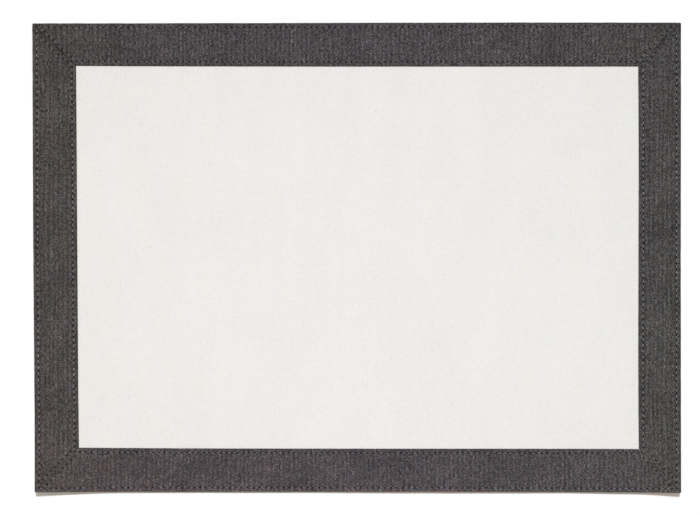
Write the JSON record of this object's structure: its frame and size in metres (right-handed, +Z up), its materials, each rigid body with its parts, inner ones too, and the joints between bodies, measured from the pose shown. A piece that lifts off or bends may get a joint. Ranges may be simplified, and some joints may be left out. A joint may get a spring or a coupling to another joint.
{
  "type": "fabric placemat",
  "caption": "Rectangular cloth placemat: off-white canvas centre, charcoal chambray border strips with mitred corners, front corners slightly lifted.",
  "frame": {"origin": "middle of the underside, on the table surface", "axes": "+X along the long side, to the right in the picture; +Y to the picture's top; +Z up"},
  "size_m": [0.4582, 0.3316, 0.006],
  "materials": {
    "canvas": "matt plain weave",
    "chambray": "matt heathered weave"
  },
  "bodies": {
    "root": {"centre_panel": "canvas", "border_back": "chambray", "border_front": "chambray", "border_left": "chambray", "border_right": "chambray"}
  },
  "joints": []
}
